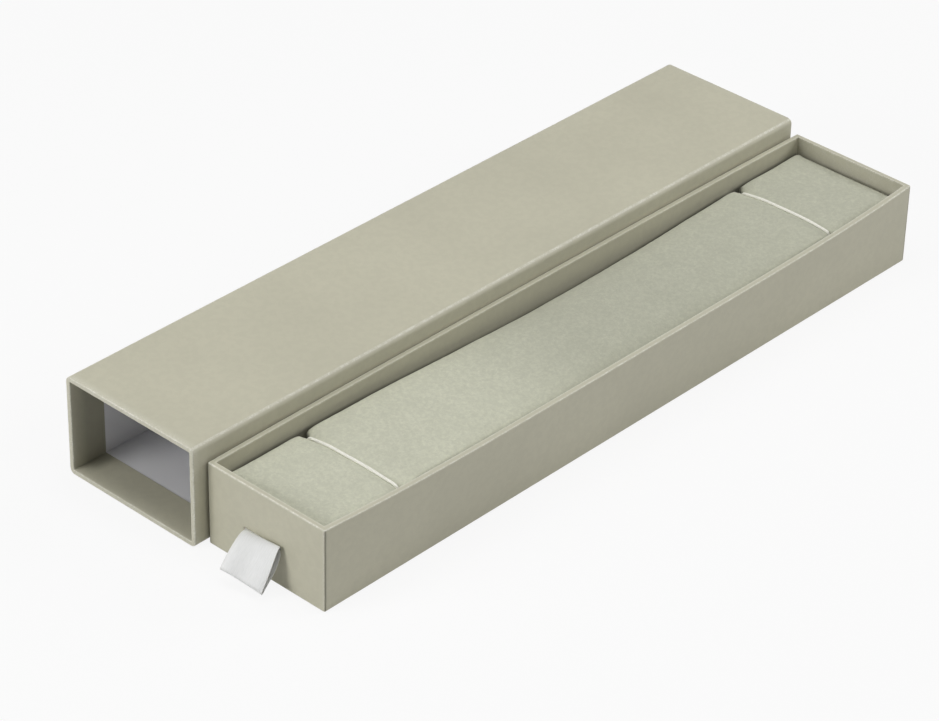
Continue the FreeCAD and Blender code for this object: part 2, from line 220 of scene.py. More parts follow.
# ---- Materials
GRAIN_TURN = (0.6, 0.4, 0.5)  # radians, so that no flat face lies along a noise's cells
PAPER_TONE = (0.546, 0.528, 0.412)
BASE_TONE = tuple(c * 0.97 for c in PAPER_TONE)
WEAR_AND_LIGHT_TONE = (0.86, 0.85, 0.77)
LINING_TONES = ((0.74, 0.74, 0.77), (0.80, 0.80, 0.82))
BOARD_TONES = ((0.20, 0.19, 0.17), (0.30, 0.285, 0.25))
SPECK_TONE = (0.08, 0.08, 0.07)
FOAM_TONES = ((0.55, 0.54, 0.48), (0.80, 0.79, 0.72))
TAPE_TONES = ((0.36, 0.25, 0.15), (0.44, 0.32, 0.20))
VELVET_TONE = (0.645, 0.651, 0.521)
PILE_TIP_TONE = (0.66, 0.67, 0.58)
PILE_SHEEN = (0.9, 0.9, 0.82, 1)
SATIN_TONES = ((0.74, 0.75, 0.74), (0.83, 0.835, 0.83))
THREADS = (9000.0, 500.0, 500.0)  # cells to the metre across the ribbon, forward and upward
SELVEDGE_TONE = (0.66, 0.66, 0.63)
SELVEDGE_SHARE = 0.35
CORD_TONES = ((0.93, 0.92, 0.84), (0.97, 0.96, 0.89))
BRAID_GAP_SHADE_TONE = (0.78, 0.77, 0.69)
MOTTLE = 0.035  # a mottled surface is this much darker and lighter than its tone
PAPER_GRAIN = 0.10
PAINTED_SHADE_LEVEL = 0.7  # light left by the painted shade over the pad's middle, which stands in for the pile laid away from the eye
PAINTED_SHADE_SHARE = 0.66
# Noise scales below are in cells to the metre, and bump distances in metres.


def tinted(tone, level=1.0):
    """The tone at a level, opaque."""
    return tuple(c * level for c in tone) + (1,)


def place_of(tree, turned=True):
    """The point on the piece, in metres, which moves with the piece."""
    where = add(tree, "TexCoord").outputs["Object"]
    if not turned:
        return where
    return add(tree, "Mapping", {"Vector": where, "Rotation": GRAIN_TURN}).outputs[0]


def noise_at(tree, where, scale, detail=2.0, roughness=0.5):
    return add(tree, "TexNoise",
               {"Vector": where, "Scale": scale, "Detail": detail, "Roughness": roughness}).outputs["Fac"]


def ramp(tree, value, low, high, start=0.0, end=1.0):
    """value from low..high brought to start..end and held there."""
    return add(tree, "MapRange", {"Value": value, "From Min": low, "From Max": high,
                                  "To Min": start, "To Max": end}).outputs[0]


def times(tree, a, b):
    return add(tree, "Math", {0: a, 1: b}, operation="MULTIPLY").outputs[0]


def blend_colour(tree, share, a, b, way="MIX"):
    mix = add(tree, "Mix", {0: share, 6: a, 7: b}, data_type="RGBA", blend_type=way)
    return mix.outputs[2]


def between(tree, value, tones, low, high):
    """The first tone where the value is low, the second where it is high."""
    return blend_colour(tree, ramp(tree, value, low, high), tinted(tones[0]), tinted(tones[1]))


def bump(tree, height, distance, strength=1.0, under=None):
    inputs = {"Height": height, "Distance": distance, "Strength": strength}
    if under is not None:
        inputs["Normal"] = under
    return add(tree, "Bump", inputs).outputs[0]


def attribute(tree, name):
    return add(tree, "Attribute", attribute_name=name).outputs["Fac"]


def finish_material(tree, **sockets):
    """The material's one shader, with its sockets set or linked by short names."""
    names = {
        "colour": "Base Color", "rough": "Roughness", "normal": "Normal", "gloss": "Specular IOR Level",
        "sheen": "Sheen Weight", "sheen_rough": "Sheen Roughness", "sheen_tint": "Sheen Tint",
        "aniso": "Anisotropic", "scatter": "Subsurface Weight", "scatter_scale": "Subsurface Scale",
        "scatter_reach": "Subsurface Radius",
    }
    shader = add(tree, "BsdfPrincipled", {names[k]: v for k, v in sockets.items()})
    add(tree, "OutputMaterial", {"Surface": shader.outputs[0]})


def covering_paper(tree, tone, gloss):
    """Dyed box paper with a faint mottle, fine fibres, paler folds that are worn and carry painted
    highlights, and painted shade in crevices.
    """
    where = place_of(tree)
    cloud = noise_at(tree, where, scale=28.0, detail=3.0)
    fibre = noise_at(tree, where, scale=2600.0, detail=3.0, roughness=0.6)
    fleck = noise_at(tree, where, scale=520.0)
    colour = blend_colour(tree, ramp(tree, cloud, low=0.35, high=0.65), tinted(tone, 1 - MOTTLE),
                          tinted(tone, 1 + MOTTLE))
    grain = ramp(tree, fibre, low=0.3, high=0.7)
    dimmer = tinted(tone, level=0.8)
    colour = blend_colour(tree, times(tree, grain, PAPER_GRAIN), colour, dimmer)
    colour = blend_colour(tree, ramp(tree, fleck, low=0.41, high=0.59, end=0.16), colour, dimmer)
    broken = times(tree, ramp(tree, fleck, low=0.38, high=0.60, start=0.5),
                   ramp(tree, fibre, low=0.42, high=0.58, start=0.5, end=1.35))
    # pale marks: wear on the folds, with painted highlights and painted light mixed in
    wear_and_light_amount = times(tree, attribute(tree, "wear_and_painted_light"), broken)
    colour = blend_colour(tree, ramp(tree, wear_and_light_amount, low=0.0, high=1.0, end=0.85), colour, tinted(WEAR_AND_LIGHT_TONE))
    # painted shade, darkening the paper where light falls short
    colour = blend_colour(tree, attribute(tree, "painted_shade"), colour, tinted(tone, level=0.22))
    finish_material(tree, colour=colour, rough=ramp(tree, grain, low=0.0, high=1.0, start=0.42, end=0.58),
                    normal=bump(tree, fibre, distance=0.00003, strength=0.35), gloss=gloss)


def wrap_paper(tree):
    covering_paper(tree, PAPER_TONE, gloss=0.35)


def base_paper(tree):
    covering_paper(tree, BASE_TONE, gloss=0.25)


def lining_paper(tree):
    """Uncoated white paper."""
    where = place_of(tree)
    fibre = noise_at(tree, where, scale=1500.0, detail=4.0, roughness=0.6)
    cloud = noise_at(tree, where, scale=40.0)
    finish_material(tree, colour=between(tree, cloud, LINING_TONES, low=0.3, high=0.7), rough=0.85,
                    normal=bump(tree, fibre, distance=0.00004, strength=0.4), gloss=0.2)


def grey_board(tree):
    """Recycled board with short fibres and dark specks."""
    where = place_of(tree)
    fibre = noise_at(tree, where, scale=900.0, detail=4.0, roughness=0.65)
    speck = noise_at(tree, where, scale=2200.0, detail=1.0)
    colour = between(tree, fibre, BOARD_TONES, low=0.3, high=0.7)
    colour = blend_colour(tree, ramp(tree, speck, low=0.66, high=0.72), colour, tinted(SPECK_TONE))
    finish_material(tree, colour=colour, rough=0.92, gloss=0.15,
                    normal=bump(tree, fibre, distance=0.00008, strength=0.6))


def foam(tree):
    """Open-celled foam."""
    cell = noise_at(tree, place_of(tree), scale=1800.0)
    finish_material(tree, colour=between(tree, cell, FOAM_TONES, low=0.35, high=0.6), rough=0.95,
                    normal=bump(tree, cell, distance=0.0003, strength=0.7), gloss=0.1)


def stay_tape(tree):
    """Brown gummed tape."""
    fibre = noise_at(tree, place_of(tree), scale=1200.0, detail=3.0)
    finish_material(tree, colour=between(tree, fibre, TAPE_TONES, low=0.3, high=0.7), rough=0.6,
                    normal=bump(tree, fibre, distance=0.00003, strength=0.4), gloss=0.3)


def pad_velvet(tree):
    """Short-piled velvet: pale tips over a soft mottle, with painted shade in the creases, round the edges
    and over the pad's middle.
    """
    where = place_of(tree)
    patch = noise_at(tree, where, scale=130.0, detail=3.0, roughness=0.6)
    nap = noise_at(tree, where, scale=1400.0, detail=3.0, roughness=0.7)
    clump = noise_at(tree, where, scale=750.0, detail=3.0, roughness=0.65)
    pile = noise_at(tree, where, scale=4200.0)
    colour = blend_colour(tree, ramp(tree, patch, low=0.32, high=0.68), tinted(VELVET_TONE, level=0.96),
                          tinted(VELVET_TONE, 1 + MOTTLE))
    colour = blend_colour(tree, ramp(tree, nap, low=0.36, high=0.66, end=0.42), colour,
                          tinted(VELVET_TONE, level=0.72))
    colour = blend_colour(tree, ramp(tree, clump, low=0.42, high=0.58, end=0.45), colour,
                          tinted(VELVET_TONE, level=0.78))
    colour = blend_colour(tree, ramp(tree, pile, low=0.45, high=0.7, end=0.25), colour,
                          tinted(PILE_TIP_TONE))
    # painted shade over the pad's middle: none at the front, less towards the back
    colour = blend_colour(tree, times(tree, attribute(tree, "painted_length_shade"), PAINTED_SHADE_SHARE), colour, grey(PAINTED_SHADE_LEVEL),
                          way="MULTIPLY")
    # painted shade in the notches, round the top edge and down the sides
    colour = blend_colour(tree, attribute(tree, "painted_shade"), colour, tinted(VELVET_TONE, level=0.12))
    rough_pile = bump(tree, pile, distance=0.00012, strength=0.5)
    finish_material(tree, colour=colour, rough=0.95, gloss=0.1, sheen=0.25, sheen_rough=0.5,
                    sheen_tint=PILE_SHEEN,
                    normal=bump(tree, nap, distance=0.00025, strength=0.45, under=rough_pile))


def satin(tree):
    """White satin: glossy across its warp threads, with a little light through it."""
    stretched = add(tree, "Mapping", {"Vector": place_of(tree, turned=False), "Scale": THREADS})
    thread = noise_at(tree, stretched.outputs[0], scale=1.0)
    colour = between(tree, thread, SATIN_TONES, low=0.3, high=0.7)
    selvedge = times(tree, attribute(tree, "selvedge"), SELVEDGE_SHARE)
    colour = blend_colour(tree, selvedge, colour, tinted(SELVEDGE_TONE))
    finish_material(tree, colour=colour, rough=0.42, gloss=0.5, sheen=0.1, aniso=0.3, scatter=0.6,
                    scatter_scale=0.0004, scatter_reach=(1, 1, 1),
                    normal=bump(tree, thread, distance=0.00003, strength=0.5))


def cord_braid(tree):
    """White elastic covered in a fine braid."""
    yarn = noise_at(tree, place_of(tree), scale=6000.0)
    colour = between(tree, yarn, CORD_TONES, low=0.3, high=0.7)
    # painted shade in the braid's gaps
    colour = blend_colour(tree, attribute(tree, "painted_shade"), colour, tinted(BRAID_GAP_SHADE_TONE))
    finish_material(tree, colour=colour, rough=0.6, gloss=0.3, sheen=0.15,
                    normal=bump(tree, yarn, distance=0.00004, strength=0.5))


MAKERS = {
    "wrap_paper": wrap_paper,
    "base_paper": base_paper,
    "lining_paper": lining_paper,
    "greyboard": grey_board,
    "corner_tape": stay_tape,
    "foam": foam,
    "velvet": pad_velvet,
    "satin_ribbon": satin,
    "elastic_cord": cord_braid,
}
materials = {}
for slot, make in MAKERS.items():
    materials[slot] = bpy.data.materials.new(slot)
    make(node_tree(materials[slot]))


def dress(node):
    """Gives a CAD node that stays the material of its slot."""
    mesh = nodes[node].data
    mesh.materials.clear()
    mesh.materials.append(materials[slot_of[node]])


# ---- Mesh making
def new_piece(name, points, faces, slot, body, *stands_for):
    """A mesh piece from points in millimetres, with its material, body and the nodes it replaces."""
    mesh = bpy.data.meshes.new(name)
    mesh.from_pydata([tuple(p) for p in np.asarray(points, float) * MM], [], faces)
    mesh.validate()
    mesh.update()
    shade(mesh)
    mesh.materials.append(materials[slot])
    piece = put_in(name, mesh)
    if stands_for:
        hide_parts(*stands_for)
    if body:
        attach(piece, body)
    return piece


def shade(mesh, angle=32):
    """Smooth faces with sharp folds where they meet at more than the angle, in degrees."""
    mesh.polygons.foreach_set("use_smooth", [True] * len(mesh.polygons))
    mesh.set_sharp_from_angle(angle=math.radians(angle))


def paint(piece, name, values):
    """A number at each point of the piece, for its material."""
    layer = piece.data.attributes.new(name, "FLOAT", "POINT")
    layer.data.foreach_set("value", np.asarray(values, np.float32))


def quads(rows, columns, row_steps, column_steps):
    """Faces between neighbours in a grid of points. A step past the last row or column is to the first."""
    faces = []
    for i in range(row_steps):
        a, b = i * columns, (i + 1) % rows * columns
        for j in range(column_steps):
            k = (j + 1) % columns
            faces.append((a + j, a + k, b + k, b + j))
    return faces


def loft(rings):
    """Points and faces of closed rings joined in order, with both ends capped."""
    count = len(rings[0])
    points = np.concatenate(rings)
    faces = quads(len(rings), count, len(rings) - 1, count)
    faces.append(tuple(range(count - 1, -1, -1)))
    last = (len(rings) - 1) * count
    faces.append(tuple(range(last, last + count)))
    return points, faces


def spread(start, end, step):
    """Evenly spaced numbers from start to end, about a step apart."""
    count = max(2, int(round(abs(end - start) / step)) + 1)
    return np.linspace(start, end, count)


def rounded_outline(half_a, low_b, high_b, radius, per_arc=7, count_a=18, count_b=12):
    """A rectangle with round corners, anticlockwise, as (a, b) pairs with the same count each time."""
    centres = [(half_a - radius, low_b + radius, -90), (half_a - radius, high_b - radius, 0),
               (-half_a + radius, high_b - radius, 90), (-half_a + radius, low_b + radius, 180)]
    runs = [count_b, count_a, count_b, count_a]
    out = []
    for n, (ca, cb, start) in enumerate(centres):
        for i in range(per_arc + 1):
            t = math.radians(start + 90 * i / per_arc)
            out.append((ca + radius * math.cos(t), cb + radius * math.sin(t)))
        end = out[-1]
        na, nb, nstart = centres[(n + 1) % 4]
        t = math.radians(nstart)
        nxt = (na + radius * math.cos(t), nb + radius * math.sin(t))
        for i in range(1, runs[n]):
            s = i / runs[n]
            out.append((end[0] + (nxt[0] - end[0]) * s, end[1] + (nxt[1] - end[1]) * s))
    return np.array(out)


SEED_STEP = (17.3, 5.1, 9.7)  # how far apart in the noise two seeds are


def ripple(points, amount, size, seed):
    """Smooth random numbers, one for each point, up to the amount."""
    offset = Vector([seed * step for step in SEED_STEP])
    return np.array([noise.noise(Vector(p) / size + offset) * amount for p in points])


def fade(distance, reach):
    """1 at no distance, and evenly less up to the reach, where it is 0."""
    return np.clip(1 - distance / reach, 0, 1)


def climb(value, start, over):
    """0 up to the start, and evenly more over the next stretch, after which it is 1."""
    return np.clip((value - start) / over, 0, 1)


def upright(flat, y):
    """Points at y of a flat outline of (x, z) pairs."""
    return np.column_stack([flat[:, 0], np.full(len(flat), y), flat[:, 1]])


# ---- Sleeve's paper
TURN_IN = 10.7
MOUTH_FOLD = 0.3
LONG_EDGE = 1.6  # radius of the long edges outside
HIDDEN_EDGE = 0.3  # of those on the turned-in paper's hidden side
INNER_EDGE = 0.2  # and of those inside, which gain MOUTH_OPENS round the mouth's fold
MOUTH_OPENS = 0.1
BACK_EDGE = 0.35
FOLD_STEPS = 5  # faces round a fold
INNER_STEP = 1.2  # from ring to ring of points inside
OUTER_STEP = 2.0  # and outside
SKIN = 0.5  # less deep than this is the sleeve's outside
SAME_FACE = 0.05  # this near to a face's depth lies on the face
WAVE_REACH = 0.4  # this near to an outer face waves with it
STRAIGHT_MOUTH = 0.6  # no waves this near to the mouth
LEFT_SHADE = 0.45  # how dark the turned-in paper is at the tunnel's left
LEFT_SHADE_WIDTH = 5
FLOOR_SHADE = 0.12  # and on its floor
WEAR_AND_HIGHLIGHT_REACH = 0.4
MOUTH_WEAR_AND_HIGHLIGHT = 1.2  # worn right through, with a painted highlight, in the middle of the mouth's outer fold
INNER_MOUTH_WEAR_AND_HIGHLIGHT = 0.9
LONG_EDGE_WEAR_AND_HIGHLIGHT = 0.9
WEAR_AND_HIGHLIGHT_LINE = (0.75, 0.25)  # a long edge's line of wear and painted highlight, from the side and from the top
BACK_EDGE_WEAR = 0.7
BACK_MARGIN = 1.3  # the back panel stops this far inside the sleeve's edges
PANEL_SUNK = 0.02  # its glued side reaches this far into the laps
PANEL_CORNER = 0.5
PANEL_BEVEL = (0.05, 0.06)  # its softened outer edge, in depth and in width
PANEL_RIM = 0.5  # a ring this far inside its edge keeps the wear to the edge
PANEL_WEAR = 0.35
PANEL_SIDE_SHADE = 0.5


def sleeve_section(inset, radius, y):
    """The sleeve's outline, a distance inside its outer face, at y."""
    half = sleeve_high[0] - inset
    return upright(rounded_outline(half, sleeve_low[2] + inset, sleeve_high[2] - inset, radius), y)


def sleeve_paper():
    """The sleeve's covering paper: its hidden side to the mouth, the turned-in part, the outside."""
    front, back = sleeve_low[1], sleeve_high[1] - paper
    hidden = sleeve_wall - paper
    turned_to = front + TURN_IN
    profile = [(paper, LONG_EDGE - paper, back - paper), (paper, LONG_EDGE - paper, front + paper),
               (hidden, HIDDEN_EDGE, front + paper), (hidden, HIDDEN_EDGE, turned_to),
               (sleeve_wall, INNER_EDGE, turned_to)]
    for y in spread(turned_to, front + MOUTH_FOLD, INNER_STEP)[1:]:
        profile.append((sleeve_wall, INNER_EDGE, y))
    for i in range(1, FOLD_STEPS + 1):
        t = math.radians(90 * i / FOLD_STEPS)
        radius = INNER_EDGE + MOUTH_OPENS * i / FOLD_STEPS
        profile.append((sleeve_wall - MOUTH_FOLD * (1 - math.cos(t)), radius,
                        front + MOUTH_FOLD * (1 - math.sin(t))))
    for i in range(FOLD_STEPS + 1):
        t = math.radians(90 * i / FOLD_STEPS)
        inset = MOUTH_FOLD * (1 - math.sin(t))
        profile.append((inset, LONG_EDGE - inset, front + MOUTH_FOLD * (1 - math.cos(t))))
    for y in spread(front + MOUTH_FOLD, back - BACK_EDGE, OUTER_STEP)[1:]:
        profile.append((0.0, LONG_EDGE, y))
    for i in range(1, FOLD_STEPS + 1):
        t = math.radians(90 * i / FOLD_STEPS)
        inset = BACK_EDGE * (1 - math.cos(t))
        profile.append((inset, LONG_EDGE - inset, back - BACK_EDGE * (1 - math.sin(t))))
    points, faces = loft([sleeve_section(*p) for p in profile])
    depth = np.repeat([p[0] for p in profile], len(points) // len(profile))
    wave = ripple(points, amount=0.05, size=22.0, seed=1)
    away = np.column_stack([np.sign(points[:, 0]) * (np.abs(points[:, 0]) > sleeve_high[0] - WAVE_REACH),
                            np.zeros(len(points)),
                            (points[:, 2] > sleeve_high[2] - WAVE_REACH).astype(float)])
    waving = (depth < SKIN) & (np.abs(points[:, 1] - front) >= STRAIGHT_MOUTH)
    points = points + away * np.where(waving, -np.abs(wave), 0.0)[:, None]
    piece = new_piece("sleeve_paper", points, faces, "wrap_paper", "sleeve", "sleeve_wrap")
    # wear on the folds, together with painted highlights on the mouth's folds and the long edges
    paint(piece, "wear_and_painted_light", fold_wear_and_highlight(points, depth, front, back))
    # painted shade inside the tunnel: strong down its left wall, faint on its floor, both deeper in
    deep = climb(points[:, 1] - front, start=1.0, over=4.0) * (depth > sleeve_wall - SAME_FACE)
    low = fade(points[:, 2] - sleeve_low[2] - sleeve_wall, reach=8)
    at_left = points[:, 0] < LEFT_SHADE_WIDTH - sleeve_high[0]
    paint(piece, "painted_shade", deep * np.where(at_left, LEFT_SHADE, FLOOR_SHADE * low))


def fold_wear_and_highlight(points, depth, front, back):
    """How worn the sleeve's paper is, with painted highlights on its folds: most on its mouth's outer
    fold, least on its back edges.
    """
    x, y, z = np.abs(points[:, 0]), points[:, 1], points[:, 2]
    mouth = MOUTH_WEAR_AND_HIGHLIGHT * fade(np.hypot(y - front, depth), WEAR_AND_HIGHLIGHT_REACH)
    mouth += INNER_MOUTH_WEAR_AND_HIGHLIGHT * fade(np.hypot(y - front, depth - sleeve_wall), WEAR_AND_HIGHLIGHT_REACH)
    to_side = sleeve_high[0] - x
    to_top = np.minimum(sleeve_high[2] - z, z - sleeve_low[2])
    from_line = np.hypot(to_side - WEAR_AND_HIGHLIGHT_LINE[0], to_top - WEAR_AND_HIGHLIGHT_LINE[1])
    long_edge = fade(from_line, reach=0.5) * (depth < SKIN)
    back_edge = fade(np.hypot(y - back, np.minimum(to_side, to_top)), WEAR_AND_HIGHLIGHT_REACH) * (depth < SKIN)
    return np.clip(mouth + LONG_EDGE_WEAR_AND_HIGHLIGHT * long_edge + BACK_EDGE_WEAR * back_edge, 0, 1)


def sleeve_back_panel():
    """The paper panel that closes the sleeve's back over the folded-in laps."""
    half = sleeve_high[0] - BACK_MARGIN
    low, high = sleeve_low[2] + BACK_MARGIN, sleeve_high[2] - BACK_MARGIN
    inner, outer = sleeve_high[1] - paper - PANEL_SUNK, sleeve_high[1]
    rings = []
    for y, inset in ((inner, 0.0), (outer - PANEL_BEVEL[0], 0.0), (outer, PANEL_BEVEL[1]),
                     (outer, PANEL_RIM)):
        flat = rounded_outline(half - inset, low + inset, high - inset, PANEL_CORNER, per_arc=4)
        rings.append(upright(flat, y))
    points, faces = loft(rings)
    piece = new_piece("sleeve_back_panel", points, faces, "wrap_paper", "sleeve")
    to_edge = np.minimum(half - np.abs(points[:, 0]), np.minimum(points[:, 2] - low, high - points[:, 2]))
    paint(piece, "wear_and_painted_light", PANEL_WEAR * fade(to_edge, reach=0.3))
    # painted shade on the panel's hidden glued side, fading up its edges
    paint(piece, "painted_shade", PANEL_SIDE_SHADE * (points[:, 1] < outer - 2 * SAME_FACE))


# ---- Pad's sizes
SIM_SCALE = 8.0  # the pad is simulated larger, where Blender's cloth is at ease
PAD_VOXEL = 1.15
PAD_START = 0.35  # the pad starts this much smaller all round, and swells
PAD_PRESSURE = 4.0
PAD_FRAMES = 20
PAD_CAP = 0.4  # furthest a point moves in the simulation
TINY = 1e-9  # keeps a division clear of zero
PAD_ROOM = 0.15  # and furthest the finished pad stands outside its box
PAD_PLUMP = 0.85  # the crown's height over the CAD model's
PAD_SIDE_DROP = 2.0  # how much lower its long sides are in the middle than at the ends
MIDDLE_SHARE = 0.35  # and how much of that its middle is lower too
SIDE_SHARE = 0.65
PAD_WAIST = 0.75  # how much nearer together they are
WAIST_AT = 0.56  # share of the way back at which they are nearest
WAIST_REACH = 0.43  # and how far from there they still are nearer
PAD_EDGE_DROP = 0.3  # its side edges under its crown
CROWN_POWER = 10  # the higher, the nearer to the ends the crown reaches
SQUARE_UP = 0.45  # pushes the softened top edges back out
BLOCK_CORNER = 0.9
# Heights over the block's foot or under its top, and how far in it is there.
BLOCK_FOOT = [(0.0, 1.2), (0.3, 0.5), (1.0, 0.1)]
BLOCK_TOP = [(0.9, 0.0), (0.25, 0.1), (0.0, 0.4)]
HELD_FOOT = 3.0  # what is lower than this is held
CORD_RADIUS = 0.42
CORD_SINK = 0.12
CORD_FROM_END = 29.0
NOTCH_REACH = 2.0  # how far a notch goes into the pad's side
NOTCH_HALF = 1.4
NOTCH_ROUND = 0.7  # the lower, the squarer a notch is
NOTCH_DROP = 1.9  # how far a notch lowers the pad's edge
NOTCH_FULL = 1.2  # over 1, so that a notch is as deep a little way in, before it fades
NOTCH_FADE = 2.2
CREASE_DEPTH = 0.40  # under the cord
CREASE_WIDTH = 0.75
HOLLOW_DEPTH = 0.30  # of the wide hollow round the crease
HOLLOW_WIDTH = 3.2
CREASE_SHARE = 0.7  # how much of these depths the pad's middle has
ARCH_LEFT = 2.0  # and how much more of them its left side has
ARCH_RIGHT = 1.0
ARCH_POWER = 1.5
NOTCH_SHADE_REACH = 2.9
EDGE_SHADE = 0.7
EDGE_SHADE_WIDTH = 1.35
SIDE_SHADE = 0.2
SIDE_SHADE_FROM = 2.6  # under the CAD pad's top
LESS_PAINTED_SHADE = 0.35  # share by which the painted shade lessens towards the back
pad_half = (cover_high[0] - cover_low[0]) / 2
pad_mid = (cover_low + cover_high) / 2
front_cord_y = drawer_low[1] + CORD_FROM_END
back_cord_y = drawer_high[1] - CORD_FROM_END
cord_rows = (front_cord_y, back_cord_y)


# ---- Drawer's walls and paper
# The foam presses the long walls outward between the drawer's stiff corners, the right one more,
# because the left one leans on the sleeve.
RIGHT_BOW = 2.4
LEFT_BOW = 0.5
BOW_POWER = 4  # the higher, the nearer to the corners the bow reaches
LEAN_POWER = 1.3  # over 1, so that a wall leans more towards its rim
WALL_FOOT = 1.3  # the walls start to lean above the base board
BOW_REACH = 3.0  # this near to a side face moves with the wall; twice as far stays put
ALONG_STEP = 6.0  # between the edges added for the bow, along the wall and upward
UP_STEP = 3.0
SAME_PLACE = 1e-7  # metres
# Edges added for the wear, the painted highlights and the painted shade: how far from the long sides, from
# the ends, under the rim, how high round the pad's line and how far from the cords.
SIDE_CUTS = np.array([0.15, 0.45, 0.9, 1.4])
END_CUTS = np.array([0.2, 0.33, 0.45, 0.6, 1.0, 2.0])
RIM_CUTS = np.array([0.5, 0.9, 1.6])
LINE_CUTS = np.arange(14.5, 21.5, 0.5)
CORD_CUTS = np.array([-2.2, -1.4, -0.7, 0.0, 0.7, 1.4, 2.2])
SIDE_WALL = 1.55  # thickness of the long walls with their paper, and of the end walls
END_WALL = 1.4
RIM_FLAT = 0.1
RIM_WEAR_AND_HIGHLIGHT = 0.8
FRONT_RIM_WEAR_AND_HIGHLIGHT = 0.2  # more of it at the front
INNER_RIM_WEAR_AND_HIGHLIGHT = 0.6
CORNER_WEAR_AND_HIGHLIGHT = 0.55
BACK_WALL_PAINTED_LIGHT = 0.2  # painted light, paler all over the back wall's inside
FLAP_STEP = 0.45  # side flap's edge to the upright corner
STEP_WIDTH = 0.3
STEP_SHADE = 0.42
SLIT_SHADE = 0.8
SLIT_DEPTHS = (0.3, 1.3)  # the slit's sides show from the one to the other
SLIT_MARGIN = 10  # the slit stays this far from the long sides
INSIDE_FROM = 1.2  # this deep in the long walls is their inside
INSIDE_LEVEL = 10
PAD_LINE = 18.6  # height of the painted shade line along the pad's edge inside the long walls
PAD_LINE_DROP = 3.2  # and this much lower at the pad's waist
PAD_LINE_SHADE = 0.8
CORD_SHADE_DROP = 0.5


def bowed(points):
    """The points with those of the drawer's long walls moved outward."""
    x, y, z = points[:, 0] - drawer_mid[0], points[:, 1], points[:, 2]
    along = (y - drawer_low[1]) / (drawer_high[1] - drawer_low[1])
    span = 1 - np.clip(np.abs(2 * along - 1), 0, 1) ** BOW_POWER
    lift = climb(z, WALL_FOOT, drawer_high[2] - WALL_FOOT) ** LEAN_POWER
    half = drawer_high[0] - drawer_mid[0]
    near_side = climb(np.abs(x) - half, -2 * BOW_REACH, BOW_REACH)
    amount = np.where(x > 0, RIGHT_BOW, -LEFT_BOW) * span * lift * near_side
    return points + np.column_stack([amount, np.zeros((len(points), 2))])


def cut_by_planes(solid, axis, places):
    """Adds edges where planes across the axis meet the mesh, places in millimetres."""
    for place in places:
        spot, across = Vector(), Vector()
        spot[axis] = place * MM
        across[axis] = 1
        everything = solid.verts[:] + solid.edges[:] + solid.faces[:]
        bmesh.ops.bisect_plane(solid, geom=everything, dist=SAME_PLACE, plane_co=spot, plane_no=across)


def bent_copy(name, node, extra=()):
    """The node's mesh with even edges along the wall, bent with the wall. extra: (axis, places)."""
    solid = bmesh.new()
    solid.from_mesh(nodes[node].data)
    cut_by_planes(solid, 1, spread(drawer_low[1], drawer_high[1], ALONG_STEP)[1:-1])
    cut_by_planes(solid, 2, spread(drawer_low[2], drawer_high[2], UP_STEP)[1:-1])
    for axis, places in extra:
        cut_by_planes(solid, axis, places)
    solid.verts.ensure_lookup_table()
    points = np.array([v.co for v in solid.verts]) / MM
    faces = [[v.index for v in f.verts] for f in solid.faces]
    solid.free()
    piece = new_piece(name, bowed(points), faces, slot_of[node], "drawer", node)
    return piece, points


